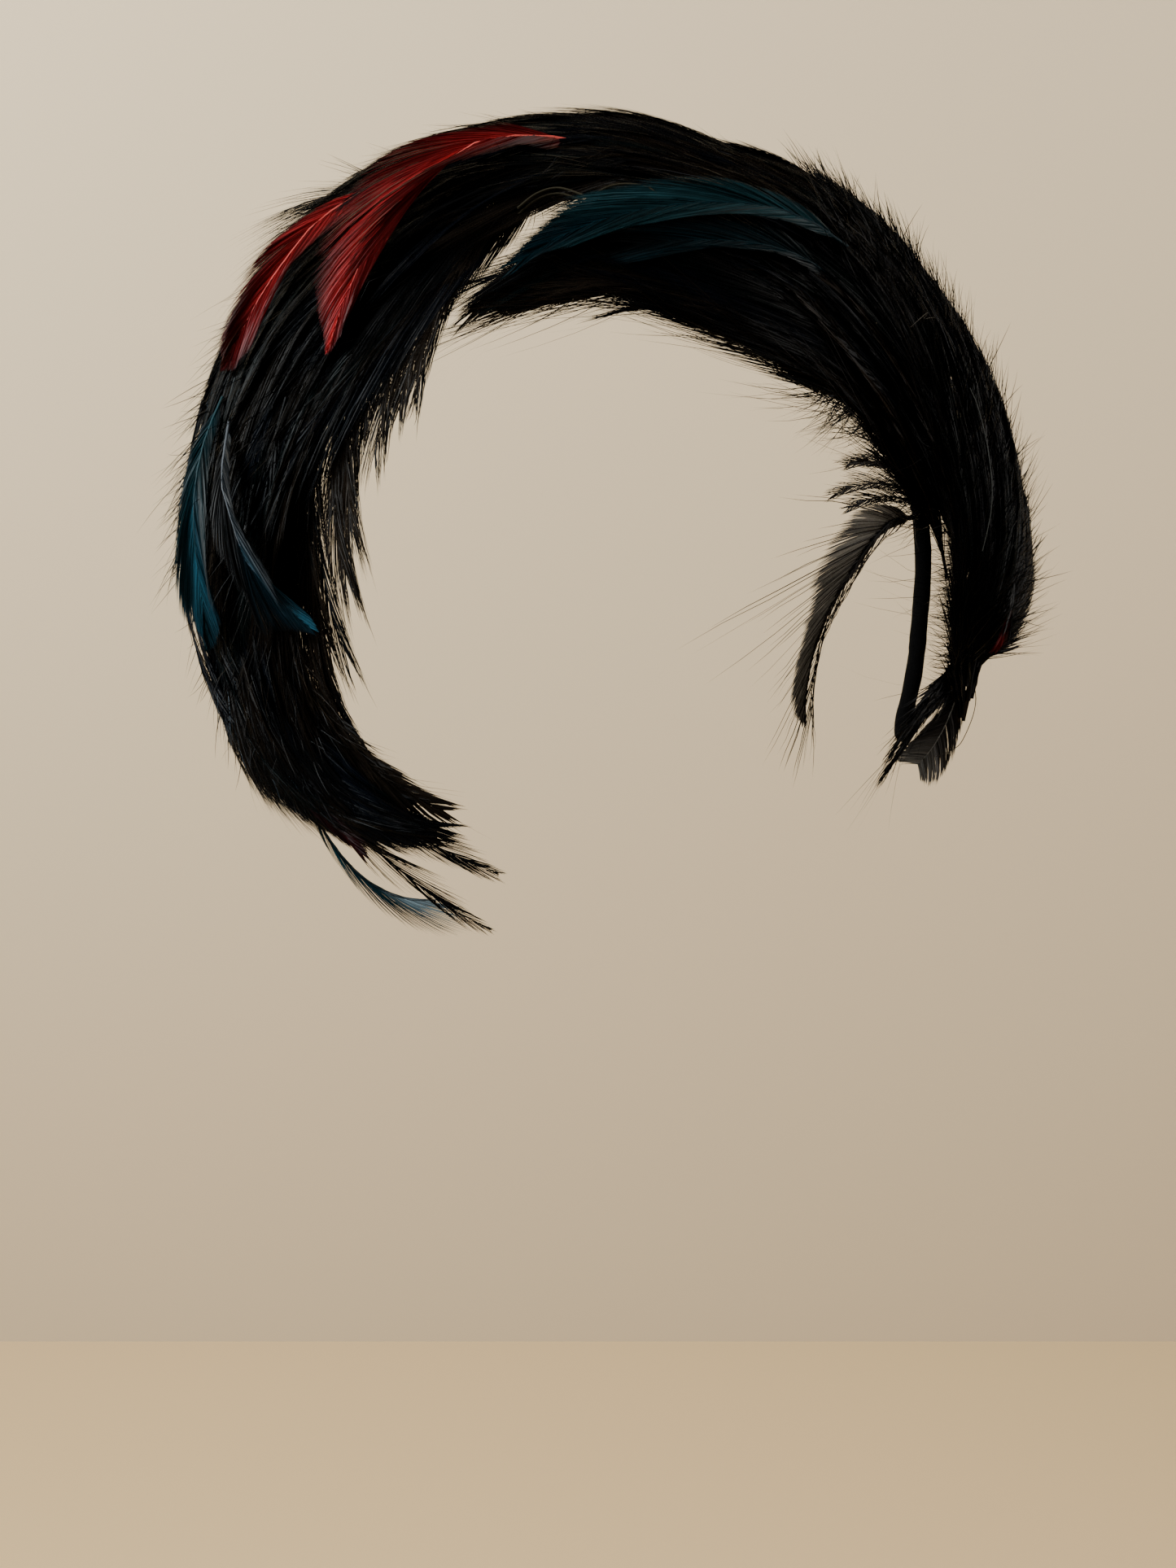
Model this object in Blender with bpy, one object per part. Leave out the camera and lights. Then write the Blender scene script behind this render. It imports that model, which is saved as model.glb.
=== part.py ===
"""A feather fascinator: a wired band for the crown of the head, covered with cock feathers.

A loop of milliner's wire in black velvet tube arches over the head from temple to temple. Four tiers of
black feathers lie on it like shingles, each tier's tips over the quills of the next, from the wearer's
left temple over the crown to the right cheek. A fifth spray sweeps forward over the forehead. Single
red, teal and black feathers rest on the tiers. The origin is the crown of the head under the band, +Z
is up and the face looks along -Y.
"""

import math
from collections import namedtuple

import bmesh
import bpy
from mathutils import Vector
from mathutils.bvhtree import BVHTree

# Every length here is in mm, and turns to metres where a mesh is made
MM = 0.001

# Head that the band is bent to: half the width, depth and height of an ellipsoid
HEAD_HALVES = Vector((77, 95, 108))
HEAD_CENTRE = Vector((0, 0, -108))

# Velvet tube over the wire
TUBE_RADIUS = 1.8
TUBE_POINTS = 90
TUBE_BEVEL_RESOLUTION = 1

# Backing of a tier
TIER_SECTIONS = 12
TIER_COLUMNS = 6
EDGE_SHARE = 0.4

# Locks on a tier
LOCK_CELLS = (4, 2)
LOCK_THICKNESS = 0.9
LOCK_SINK = 0.7

# Single feathers
FEATHER_CELLS = (10, 2)
FEATHER_THICKNESS = 0.9
REST_GAP = 1
REST_SAMPLES = 9
REST_REACH = 0.02
REST_SEARCH = 25

# Each row: arch in degrees round the head, from 0 at the wearer's left over the crown at 90 to the
# right at 180; fore in mm from the middle of the head, minus towards the face; off the head in mm.
WirePoint = namedtuple("WirePoint", "arch fore off")
FRONT_WIRE = (
    WirePoint(0, -60, 3.5),
    WirePoint(7, -56, 4),
    WirePoint(13, -51.5, 4),
    WirePoint(20, -42, 3.5),
    WirePoint(29, -34, 3),
    WirePoint(42, -30, 2.5),
    WirePoint(60, -29, 2.3),
    WirePoint(90, -27, 2),
    WirePoint(112, -33, 3),
    WirePoint(132, -42, 4.5),
    WirePoint(150, -50, 5.5),
    WirePoint(166, -59, 4.8),
    WirePoint(178, -69, 3.5),
    WirePoint(185, -80, 2.5),
)
REAR_WIRE = (
    WirePoint(190, -78, 2.5),
    WirePoint(187, -65, 3.5),
    WirePoint(180, -42, 6),
    WirePoint(169, -20, 8),
    WirePoint(152, -2, 9),
    WirePoint(131, 12, 7),
    WirePoint(110, 22, 3),
    WirePoint(88, 27, 2),
    WirePoint(66, 26, 2.5),
    WirePoint(50, 24, 4),
    WirePoint(37, 17, 8),
    WirePoint(26, 2, 11.6),
    WirePoint(17, -16, 14),
    WirePoint(10, -36, 13),
    WirePoint(4, -52, 8),
    WirePoint(-1, -60, 4.5),
)

# Each row is a section of a tier from its quills to its tips: arch and fore of its middle, half its
# width, how far its underside is off the head at its front and rear edge, and its thickness.
Section = namedtuple("Section", "arch fore half front_floor rear_floor thick")
TIERS = {
    "left_temple_tier": (
        Section(0, -51, 3, 11.2, 12, 1.5),
        Section(7, -51, 6.5, 11, 14, 2.5),
        Section(12, -42, 14, 11, 17.6, 3.8),
        Section(19, -27, 26, 10, 20.3, 5),
        Section(28, -13, 33, 11.3, 19.3, 5.5),
        Section(38, -6, 32, 10.4, 16.6, 4.8),
        Section(45, -5, 32, 10.4, 15, 3.8),
        Section(53, -4, 32, 10, 12.4, 2.8),
        Section(61, -4, 31, 9, 9.8, 1.8),
    ),
    "crown_tier": (
        Section(46, -1, 26, 6, 8.6, 1.3),
        Section(54, -1, 27, 5.4, 6.8, 1.5),
        Section(63, -1, 29, 5, 5.8, 1.8),
        Section(74, -1, 30, 4.6, 4.9, 2.2),
        Section(88, -2, 31, 4.4, 4.6, 2.2),
        Section(97, -6, 33, 5.8, 6.2, 2.4),
        Section(105, -9, 35, 7.8, 8.8, 2.4),
        Section(114, -13, 35, 10.3, 12.8, 2),
    ),
    "right_side_tier": (
        Section(102, -7, 29, 4.6, 5, 1),
        Section(108, -9, 31, 5, 5.8, 1.6),
        Section(116, -15, 34, 6.4, 9, 2.8),
        Section(128, -20, 36, 7.2, 14, 5.2),
        Section(141, -26, 35, 8.8, 16.4, 5.8),
        Section(150, -32, 33, 11.4, 17.4, 4.4),
        Section(158, -37, 32, 13.2, 18.2, 3.2),
        Section(166, -41, 29, 13.8, 17.6, 2.4),
    ),
    "right_cheek_tier": (
        Section(151, -32, 28, 9, 13.4, 1.6),
        Section(159, -41, 30, 8, 13.2, 1.8),
        Section(168, -49, 28, 7.8, 12.8, 2.6),
        Section(175, -58, 23, 7.6, 12, 3.8),
        Section(180, -69, 18, 6.8, 9.4, 3.8),
        Section(184, -78, 13, 6, 8.4, 3),
        Section(188, -86, 9, 5.4, 7, 1.8),
    ),
    "forehead_spray": (
        Section(22, -41, 5, 6.6, 8, 1.4),
        Section(30, -40, 9.5, 5.2, 7.2, 1.8),
        Section(42, -40.5, 11.5, 3.8, 6.6, 2.6),
        Section(55, -46, 13, 3, 5.8, 3),
        Section(69, -48, 14, 2.6, 5.6, 3.4),
        Section(82, -48.5, 12, 2.4, 5.2, 3.4),
        Section(95, -52, 7.5, 2.4, 4.2, 2.6),
        Section(106, -54, 4, 2.8, 3.4, 1.6),
    ),
}

# Each row is a row of locks across a tier: the share of the tier's length where it starts, how many
# locks, their length as a share of the tier's, half a lock's width in mm, how much the row spreads by
# its tips, and how far the tips lift, in mm.
LockRow = namedtuple("LockRow", "start count length half spread lift")
LOCKS = {
    "left_temple_tier": (LockRow(0.2, 5, 0.38, 4, 1.3, 1.6), LockRow(0.66, 6, 0.42, 4.2, 1.12, 0.8)),
    "crown_tier": (LockRow(0.4, 6, 0.28, 4.2, 1.12, 0.8), LockRow(0.76, 6, 0.34, 4.4, 1.1, 0.8)),
    "right_side_tier": (LockRow(0.4, 6, 0.28, 4.2, 1.12, 1.2), LockRow(0.76, 6, 0.36, 4.2, 1.14, 1.2)),
    "right_cheek_tier": (LockRow(0.36, 5, 0.28, 4, 1.15, 0.8), LockRow(0.72, 4, 0.32, 3.2, 1.2, 0.4)),
    "forehead_spray": (LockRow(0.08, 3, 0.34, 3.2, 1.3, 0.8), LockRow(0.5, 3, 0.38, 3.2, 1.2, 0.4)),
}

# Each row is a point along a feather from its quill to its tip. Where it lies on a tier it is lifted
# clear of it.
Point = namedtuple("Point", "arch fore off half")
CHEEK_TIPS = (
    (Point(175, -70, 7, 4), Point(180, -80, 6.5, 5), Point(185, -89, 6, 4.6), Point(192, -95, 5, 1.4)),
    (
        Point(183, -76, 7, 4),
        Point(186, -84, 6.6, 4),
        Point(193, -93, 6, 3.4),
        Point(203, -97, 6, 2.4),
        Point(216, -99, 6, 0.5),
    ),
    (
        Point(189, -76, 6.5, 3.4),
        Point(196, -84, 6, 3.4),
        Point(205, -89, 6, 3.2),
        Point(217, -93, 6, 2.8),
        Point(231, -94, 6, 0.5),
    ),
)
SPRAY_TIP = (Point(98, -53, 4.2, 3.6), Point(107, -54, 4.4, 2.6), Point(115, -51, 5, 0.5))
FEATHERS = {
    "red_feather_long": (
        Point(92, -16, 9, 1.2),
        Point(101, -25, 10, 3.6),
        Point(109, -31, 11, 5),
        Point(119, -41, 11, 5.2),
        Point(127, -50, 11, 4),
        Point(133, -57, 11, 0.6),
    ),
    "red_feather_short": (
        Point(121, -17, 13, 1.2),
        Point(127, -24, 15, 3.2),
        Point(134, -30, 18.2, 4),
        Point(142, -32, 20.2, 3.4),
        Point(150, -25, 20, 0.6),
    ),
    "red_feather_temple": (
        Point(12, -42, 17.5, 0.8),
        Point(10, -47, 17, 2),
        Point(8, -51, 16, 2),
        Point(5, -54, 14.5, 0.5),
    ),
    "red_feather_cheek": (
        Point(178, -62, 10, 1),
        Point(183, -72, 10, 2.4),
        Point(187, -80, 9, 2.8),
        Point(192, -86, 8, 2.2),
        Point(198, -90, 7.5, 0.5),
    ),
    "teal_feather_upper": (
        Point(149, -32, 16, 1.2),
        Point(155, -45, 17, 3.6),
        Point(161, -53, 17, 4.2),
        Point(167, -58, 16, 3.2),
        Point(172, -58, 15, 0.6),
    ),
    "teal_feather_lower": (
        Point(149, -44, 16, 1.2),
        Point(152, -54, 15, 3.4),
        Point(155, -64, 16.6, 3.6),
        Point(158, -71, 12.8, 2.8),
        Point(160, -77, 8, 0.6),
    ),
    "teal_feather_forehead": (
        Point(49, -31, 9, 1.2),
        Point(60, -33, 9, 3.6),
        Point(70, -38, 9, 4.6),
        Point(83, -45, 8, 4.6),
        Point(96, -50, 6.6, 3.4),
        Point(108, -57, 5.6, 0.6),
    ),
}

# Feathers tied in under the tiers, which hang free
HANGING_FEATHERS = {
    "teal_feather_cheek": (
        Point(186, -67, 6.4, 1),
        Point(193, -71, 6.2, 2.2),
        Point(200, -75, 6, 2.8),
        Point(206, -81, 5.4, 2.4),
        Point(211, -87, 5, 0.5),
    ),
    "stray_hackle": (
        Point(25, -46, 4.4, 1.2),
        Point(28, -56, 4, 3.6),
        Point(29, -66, 4, 4.4),
        Point(28, -75, 4, 4),
        Point(24, -81, 4, 3.2),
        Point(18, -84, 4, 2.2),
        Point(12, -85, 4, 0.5),
    ),
    "end_leaf": (
        Point(4, -49, 10.3, 1.6),
        Point(-2, -47, 8.8, 4.6),
        Point(-5, -51, 8, 5.4),
        Point(-6, -59, 7.4, 4),
        Point(-6, -65, 7, 1.6),
    ),
}

BLACK = (0.012, 0.013, 0.014, 1)
BROWN = (0.03, 0.02, 0.014, 1)
RED = (0.42, 0.03, 0.015, 1)
TEAL = (0.01, 0.12, 0.17, 1)
COLOURS = {
    "red_feather_long": RED,
    "red_feather_short": RED,
    "red_feather_temple": RED,
    "red_feather_cheek": RED,
    "teal_feather_upper": TEAL,
    "teal_feather_lower": TEAL,
    "teal_feather_forehead": TEAL,
    "teal_feather_cheek": TEAL,
    "end_leaf": BROWN,
}


def onto_head(point, off):
    """The point moved in or out until it stands off above the head, and the direction outwards."""
    halves = HEAD_HALVES + Vector((off, off, off))
    scaled = Vector([p / half for p, half in zip(point - HEAD_CENTRE, halves)]).normalized()
    out = Vector([s / half for s, half in zip(scaled, halves)]).normalized()
    return HEAD_CENTRE + scaled * halves, out


def on_head(arch, fore, off):
    """The point that stands off above the head at an arch and a fore."""
    halves = HEAD_HALVES + Vector((off, off, off))
    girth = math.sqrt(max(0.0, 1 - (fore / halves.y) ** 2))
    turn = math.radians(arch)
    return HEAD_CENTRE + Vector((halves.x * girth * math.cos(turn), fore, halves.z * girth * math.sin(turn)))


def along(rows, share):
    """The row at a share of the table's length, on a smooth curve through its rows."""
    place = share * (len(rows) - 1)
    first = min(max(int(place), 0), len(rows) - 2)
    t = place - first
    values = []
    for column in range(len(rows[0])):
        a, b = rows[first][column], rows[first + 1][column]
        before = rows[first - 1][column] if first else 2 * a - b
        after = rows[first + 2][column] if first + 2 < len(rows) else 2 * b - a
        leave = (b - before) / 2
        arrive = (after - a) / 2
        if t < 0:
            values.append(a + leave * t)
        elif t > 1:
            values.append(b + arrive * (t - 1))
        else:
            values.append(
                a * (2 * t**3 - 3 * t**2 + 1)
                + leave * (t**3 - 2 * t**2 + t)
                + b * (3 * t**2 - 2 * t**3)
                + arrive * (t**3 - t**2)
            )
    return type(rows[0])(*values)


def middle(rows, share, off):
    """A point on a table's middle line, and the way across it."""
    row = along(rows, share)
    ahead = along(rows, share + 0.02)
    behind = along(rows, share - 0.02)
    point = on_head(row.arch, row.fore, off)
    flow = (on_head(ahead.arch, ahead.fore, off) - on_head(behind.arch, behind.fore, off)).normalized()
    out = onto_head(point, off)[1]
    return point, flow.cross(out).normalized()


def slab(name, top, bottom, colour, collection):
    """A closed solid between two grids of points, which have the same number of rows and columns."""
    mesh = bpy.data.meshes.new(name)
    grid = bmesh.new()
    sheets = [[[grid.verts.new(p * MM) for p in row] for row in sheet] for sheet in (top, bottom)]
    rows, columns = len(top), len(top[0])
    for sheet in sheets:
        for i in range(rows - 1):
            for j in range(columns - 1):
                grid.faces.new((sheet[i][j], sheet[i + 1][j], sheet[i + 1][j + 1], sheet[i][j + 1]))
    rim = [(i, 0) for i in range(rows)]
    rim += [(rows - 1, j) for j in range(1, columns)]
    rim += [(i, columns - 1) for i in range(rows - 2, -1, -1)]
    rim += [(0, j) for j in range(columns - 2, 0, -1)]
    for k in range(len(rim)):
        (i, j), (m, n) = rim[k], rim[(k + 1) % len(rim)]
        grid.faces.new((sheets[0][i][j], sheets[0][m][n], sheets[1][m][n], sheets[1][i][j]))
    bmesh.ops.triangulate(grid, faces=grid.faces)
    bmesh.ops.recalc_face_normals(grid, faces=grid.faces)
    grid.to_mesh(mesh)
    grid.free()
    return placed(name, mesh, colour, collection)


def placed(name, mesh, colour, collection):
    """A new object of a mesh, with a material of its own in a plain colour."""
    part = bpy.data.objects.new(name, mesh)
    collection.objects.link(part)
    material = bpy.data.materials.new(name)
    material.use_nodes = True
    material.node_tree.nodes["Principled BSDF"].inputs["Base Color"].default_value = colour
    material.diffuse_color = colour
    mesh.materials.append(material)
    return part


def tier_point(rows, share, side, above):
    """A point of a tier at a share of its length and a side from -1 to 1, above its underside or top."""
    row = along(rows, share)
    spot, across = middle(rows, share, row.front_floor)
    edge = min(1.0, abs(side))
    floor = row.front_floor + (row.rear_floor - row.front_floor) * (min(1, max(-1, side)) + 1) / 2
    crest = row.thick * (EDGE_SHARE + (1 - EDGE_SHARE) * (1 - edge**2))
    rise = floor + (0 if above is None else crest + above)
    return onto_head(spot + across * (side * row.half), rise)[0]


def tier_backing(name, rows, colour, collection):
    """The backing of a tier: thick along its middle and thinner to its edges."""
    shares = [i / (TIER_SECTIONS - 1) for i in range(TIER_SECTIONS)]
    sides = [2 * j / (TIER_COLUMNS - 1) - 1 for j in range(TIER_COLUMNS)]
    top = [[tier_point(rows, share, side, 0) for side in sides] for share in shares]
    bottom = [[tier_point(rows, share, side, None) for side in sides] for share in shares]
    return slab(name, top, bottom, colour, collection)


def tier_locks(name, rows, lock_rows, collection):
    """The locks of a tier, which taper to points that lift off it."""
    locks = []
    steps, columns = LOCK_CELLS
    for row in lock_rows:
        for k in range(row.count):
            side = (2 * k + 1) / row.count - 1
            stagger = 0.03 * math.cos(2.4 * k + 7 * row.start)
            sheets = ([], [])
            for i in range(steps + 1):
                t = i / steps
                share = row.start + stagger + row.length * t
                reach = along(rows, min(share, 1)).half
                drift = side * (1 + (row.spread - 1) * t)
                width = row.half / reach * (1.06 - t**2.4)
                crest = LOCK_THICKNESS * (1 - 0.9 * t**3) + 3 * row.lift * t * (1 - t)
                edges = [2 * j / columns - 1 for j in range(columns + 1)]
                for sheet, above, bow in zip(sheets, (crest, -LOCK_SINK), (0.5, 0)):
                    sheet.append(
                        [tier_point(rows, share, drift + width * e, above + bow * (1 - e**2)) for e in edges]
                    )
            locks.append(slab(f"{name}.lock", *sheets, BLACK, collection))
    return locks


def feather(name, rows, colour, collection, thickness, rest_on=None):
    """A feather along a table's points, with its middle higher than its edges."""
    steps, columns = FEATHER_CELLS
    stations = []
    for i in range(steps + 1):
        stations.append([along(rows, i / steps), resting_off(rows, i / steps, rest_on)])
    for _ in range(3):
        offs = [off for _, off in stations]
        for i in range(1, steps):
            stations[i][1] = max(offs[i], (offs[i - 1] + offs[i + 1]) / 2)
    top = []
    bottom = []
    for i, (row, off) in enumerate(stations):
        spot, across = middle(rows, i / steps, off)
        deep = thickness * (1 - 0.6 * (i / steps) ** 3)
        sides = [2 * j / columns - 1 for j in range(columns + 1)]
        lifts = [off + 0.6 * thickness * (1 - side**2) for side in sides]
        places = [spot + across * (side * row.half) for side in sides]
        bottom.append([onto_head(place, lift)[0] for place, lift in zip(places, lifts)])
        top.append([onto_head(place, lift + deep)[0] for place, lift in zip(places, lifts)])
    return slab(name, top, bottom, colour, collection)


def resting_off(rows, share, rest_on):
    """How far off the head a feather has to be at a share of its length to clear what it rests on."""
    row = along(rows, share)
    clear = row.off
    if rest_on:
        for step in range(-3, 4):
            spot, across = middle(rows, share + step * REST_REACH, row.off)
            for k in range(REST_SAMPLES):
                side = 2 * k / (REST_SAMPLES - 1) - 1
                place, out = onto_head(spot + across * (side * (row.half + 0.5)), row.off)
                hit = rest_on.ray_cast((place + out * REST_SEARCH) * MM, -out, REST_SEARCH * MM)
                if hit[0] is not None:
                    clear = max(clear, row.off + REST_SEARCH - hit[3] / MM + REST_GAP)
    return clear


def fuse(part, locks):
    """The part with its locks joined on, as one solid."""
    for lock in locks:
        union = part.modifiers.new("Lock", "BOOLEAN")
        union.operation = "UNION"
        union.solver = "EXACT"
        union.object = lock
        lock.hide_render = True
        lock.display_type = "WIRE"


def wire_frame(collection):
    """The closed loop of wire in its velvet tube."""
    loop = FRONT_WIRE + REAR_WIRE
    ring = loop[-2:] + loop + loop[:2]
    steps = TUBE_POINTS
    curve = bpy.data.curves.new("wire_frame", "CURVE")
    curve.dimensions = "3D"
    curve.bevel_depth = TUBE_RADIUS * MM
    curve.bevel_resolution = TUBE_BEVEL_RESOLUTION
    spline = curve.splines.new("POLY")
    spline.points.add(steps - 1)
    spline.use_cyclic_u = True
    for i in range(steps):
        row = along(ring, (2 + len(loop) * i / steps) / (len(ring) - 1))
        spline.points[i].co = (*(on_head(*row) * MM), 1)
    maker = bpy.data.objects.new("wire_curve", curve)
    collection.objects.link(maker)
    mesh = bpy.data.meshes.new_from_object(maker.evaluated_get(bpy.context.evaluated_depsgraph_get()))
    bpy.data.objects.remove(maker)
    return placed("wire_frame", mesh, BLACK, collection)


def surface_of(parts):
    """One search tree of the finished surfaces of several parts."""
    bpy.context.view_layer.update()
    depsgraph = bpy.context.evaluated_depsgraph_get()
    corners = []
    faces = []
    for part in parts:
        mesh = part.evaluated_get(depsgraph).to_mesh()
        faces += [[v + len(corners) for v in face.vertices] for face in mesh.polygons]
        corners += [v.co.copy() for v in mesh.vertices]
    return BVHTree.FromPolygons(corners, faces)


def main():
    for old in list(bpy.data.objects):
        bpy.data.objects.remove(old)
    pieces = bpy.data.collections.new("fascinator")
    helpers = bpy.data.collections.new("locks")
    for collection in (pieces, helpers):
        bpy.context.scene.collection.children.link(collection)

    wire_frame(pieces)
    tiers = []
    for name, rows in TIERS.items():
        tier = tier_backing(name, rows, BLACK, pieces)
        locks = tier_locks(name, rows, LOCKS[name], helpers)
        if name == "right_cheek_tier":
            locks += [feather(f"{name}.tip", tip, BLACK, helpers, 1.6) for tip in CHEEK_TIPS]
        if name == "forehead_spray":
            locks.append(feather(f"{name}.tip", SPRAY_TIP, BLACK, helpers, 1.4))
        fuse(tier, locks)
        tiers.append(tier)
    support = surface_of(tiers)
    for name, rows in FEATHERS.items():
        feather(name, rows, COLOURS.get(name, BLACK), pieces, FEATHER_THICKNESS, support)
    for name, rows in HANGING_FEATHERS.items():
        feather(name, rows, COLOURS.get(name, BLACK), pieces, FEATHER_THICKNESS)


main()
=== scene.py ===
"""The looks of the feather fascinator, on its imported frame: every quill is a tube, every barb a strip."""

import math
from collections import namedtuple

import bpy
import numpy as np
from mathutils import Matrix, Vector
from mathutils.bvhtree import BVHTree


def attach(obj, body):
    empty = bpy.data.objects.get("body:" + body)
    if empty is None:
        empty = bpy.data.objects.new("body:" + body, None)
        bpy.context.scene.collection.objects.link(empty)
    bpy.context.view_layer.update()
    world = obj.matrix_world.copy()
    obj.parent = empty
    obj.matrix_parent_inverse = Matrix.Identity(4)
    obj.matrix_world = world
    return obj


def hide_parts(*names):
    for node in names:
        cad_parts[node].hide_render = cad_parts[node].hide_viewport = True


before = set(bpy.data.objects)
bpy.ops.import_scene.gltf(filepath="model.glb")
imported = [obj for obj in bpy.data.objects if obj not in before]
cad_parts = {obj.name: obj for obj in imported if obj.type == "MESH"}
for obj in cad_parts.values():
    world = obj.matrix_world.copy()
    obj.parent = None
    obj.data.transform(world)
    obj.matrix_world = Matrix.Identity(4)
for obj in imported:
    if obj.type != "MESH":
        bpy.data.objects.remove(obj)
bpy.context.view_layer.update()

# The camera stands ahead of the fascinator and a little above it, tilted down, as in the photograph.
SENSOR = 36
FOCAL_PIXELS = 2965
PICTURE_PIXELS = 1927
CAMERA_PLACE = (-0.002374, -0.52927, 0.087427)
CAMERA_TILT = 66
camera_lens = bpy.data.cameras.new("front_camera")
camera_lens.sensor_width = SENSOR
camera_lens.lens = SENSOR * FOCAL_PIXELS / PICTURE_PIXELS
camera_lens.clip_start = 0.02
camera_lens.clip_end = 20
camera = bpy.data.objects.new("front_camera", camera_lens)
camera.location = CAMERA_PLACE
camera.rotation_euler = (math.radians(CAMERA_TILT), 0, 0)
bpy.context.collection.objects.link(camera)
bpy.context.scene.camera = camera


# The frame is one loop of milliner's wire in a soft black velvet tube, bent by hand to the head from
# temple to temple. Its two legs spread over the crown and meet at the ends, and the rear one is thin at
# the left temple.
HEAD_HALVES = np.array((77.0, 95.0, 108.0))
HEAD_CENTRE = np.array((0.0, 0.0, -108.0))
TUBE_SECTIONS = 300
TUBE_SIDES = 14
TUBE_TUCKS = 0.9
PILE_HAIRS = 16000
PILE_WIDTH = 0.035
PILE_LENGTHS = (0.25, 0.6)
PILE_BEND = 0.25
TUBE_TUCK_DEPTH = 0.03
VELVET_BLACK = (0.0014, 0.0013, 0.0014)
# In every table an arch is in degrees over the head from the wearer's left ear, a fore in mm from the
# head's middle, less than 0 in front, and an off in mm above the head. Widths and radii are in mm too.
WirePoint = namedtuple("WirePoint", "arch fore off radius")
WIRE_LOOP = (
    WirePoint(0, -60, 3.5, 1.75),
    WirePoint(7, -56, 4, 1.8),
    WirePoint(13, -51.5, 4, 1.8),
    WirePoint(20, -42, 3.5, 1.8),
    WirePoint(29, -34, 3, 1.8),
    WirePoint(42, -30, 2.5, 1.8),
    WirePoint(60, -29, 2.3, 1.8),
    WirePoint(90, -27, 2, 1.8),
    WirePoint(112, -33, 3, 1.8),
    WirePoint(132, -42, 4.5, 1.8),
    WirePoint(150, -50, 5.5, 1.8),
    WirePoint(166, -59, 4.8, 1.8),
    WirePoint(178, -69, 3.5, 1.8),
    WirePoint(185, -80, 2.5, 1.8),
    WirePoint(190, -78, 2.5, 1.8),
    WirePoint(187, -65, 3.5, 1.8),
    WirePoint(180, -42, 6, 1.8),
    WirePoint(169, -20, 8, 1.8),
    WirePoint(152, -2, 9, 1.8),
    WirePoint(131, 12, 7, 1.8),
    WirePoint(110, 22, 3, 1.8),
    WirePoint(88, 27, 2, 1.8),
    WirePoint(66, 26, 2.5, 1.8),
    WirePoint(50, 24, 4, 1.8),
    WirePoint(37, 17, 8, 1.8),
    WirePoint(26, 2, 11.6, 1.75),
    WirePoint(17, -16, 14, 1.5),
    WirePoint(10, -36, 13, 1.05),
    WirePoint(4, -52, 8, 0.8),
    WirePoint(-1, -60, 4.5, 0.9),
)


def unit(ways):
    """Each way, one long."""
    return ways / (np.linalg.norm(ways, axis=-1, keepdims=True) + 1e-9)


def stand_off(points, off):
    """The points moved in or out until they stand off above the head, and the ways outwards there."""
    halves = HEAD_HALVES + np.asarray(off, float)[..., None]
    scaled = unit((points - HEAD_CENTRE) / halves)
    return HEAD_CENTRE + scaled * halves, unit(scaled / halves)


def on_head(arch, fore, off):
    """The points that stand off above the head at an arch and a fore."""
    halves = HEAD_HALVES + np.asarray(off, float)[..., None]
    girth = np.sqrt(np.clip(1 - (fore / halves[..., 1]) ** 2, 0, 1))
    turn = np.radians(arch)
    rounds = [halves[..., 0] * girth * np.cos(turn), fore, halves[..., 2] * girth * np.sin(turn)]
    return HEAD_CENTRE + np.stack(rounds, -1)


def along(table, shares):
    """The rows at shares of a table's length, on a smooth curve through its rows."""
    rows = np.array(table, float)
    last = len(rows) - 1
    place = np.asarray(shares, float) * last
    first = np.clip(place.astype(int), 0, last - 1)
    t = np.clip(place - first, 0, 1)[:, None]
    past = (place - np.clip(place, 0, last))[:, None]
    rows = np.vstack([2 * rows[0] - rows[1], rows, 2 * rows[-1] - rows[-2]])
    before, a, b, after = (rows[first + k] for k in range(4))
    leave = (b - before) / 2
    arrive = (after - a) / 2
    made = a * (2 * t**3 - 3 * t**2 + 1) + leave * (t**3 - 2 * t**2 + t)
    made += b * (3 * t**2 - 2 * t**3) + arrive * (t**3 - t**2)
    made += np.where(past < 0, leave, arrive) * past
    return type(table[0])(*made.T)


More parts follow.
